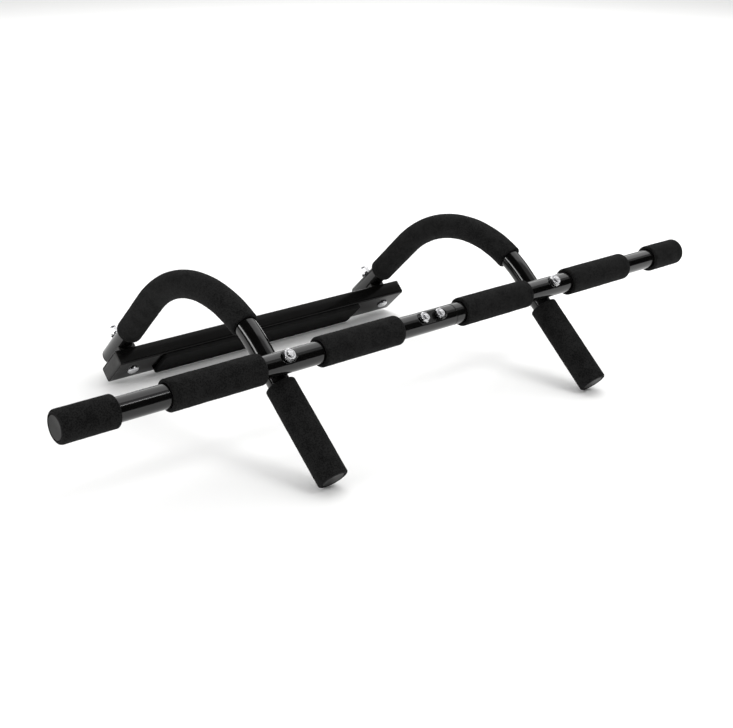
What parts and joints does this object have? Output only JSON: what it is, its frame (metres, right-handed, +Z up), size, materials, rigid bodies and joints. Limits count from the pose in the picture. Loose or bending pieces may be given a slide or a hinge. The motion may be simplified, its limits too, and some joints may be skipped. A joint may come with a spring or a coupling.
{
  "type": "doorway pull-up bar",
  "caption": "Leverage-type doorway pull-up bar with foam grips on the straight bar, angled handles, arched arms and a padded rear brace.",
  "frame": {"origin": "on the floor under the middle of the standing bar's box", "axes": "+X along the main bar from its left end to its right end, +Y from the handles towards the rear brace, +Z up, with the bar standing on its handle tips and brace pad"},
  "size_m": [0.944, 0.4618, 0.1803],
  "materials": {
    "tube_paint": "gloss black powder coat on round steel tube",
    "brace_paint": "satin black powder coat on rectangular steel tube",
    "grip_foam": "matte black closed-cell foam with a fine grain",
    "pad_foam": "matte black foam sheet",
    "cap_plastic": "dark grey moulded plastic end caps",
    "black_plastic": "black moulded plastic plugs and saddles",
    "zinc": "bright zinc-plated steel fasteners"
  },
  "bodies": {
    "root": {"brace_pad": "pad_foam", "centre_bolt_1": "zinc", "centre_bolt_2": "zinc", "centre_nut_1": "zinc", "centre_nut_2": "zinc", "door_brace": "brace_paint", "left_arch_grip": "grip_foam", "left_arm": "tube_paint", "left_bar_end_cap": "cap_plastic", "left_brace_bolt": "zinc", "left_brace_nut": "zinc", "left_brace_plug": "black_plastic", "left_brace_washer": "zinc", "left_centre_grip": "grip_foam", "left_crossing_bolt": "zinc", "left_crossing_nut": "zinc", "left_end_grip": "grip_foam", "left_handle_end_cap": "cap_plastic", "left_handle_grip": "grip_foam", "left_leg_plug": "black_plastic", "left_saddle": "black_plastic", "left_wide_grip": "grip_foam", "main_bar_left": "tube_paint", "main_bar_right": "tube_paint", "right_arch_grip": "grip_foam", "right_arm": "tube_paint", "right_bar_end_cap": "cap_plastic", "right_brace_bolt": "zinc", "right_brace_nut": "zinc", "right_brace_plug": "black_plastic", "right_brace_washer": "zinc", "right_centre_grip": "grip_foam", "right_crossing_bolt": "zinc", "right_crossing_nut": "zinc", "right_end_grip": "grip_foam", "right_handle_end_cap": "cap_plastic", "right_handle_grip": "grip_foam", "right_leg_plug": "black_plastic", "right_saddle": "black_plastic", "right_wide_grip": "grip_foam"}
  },
  "joints": []
}
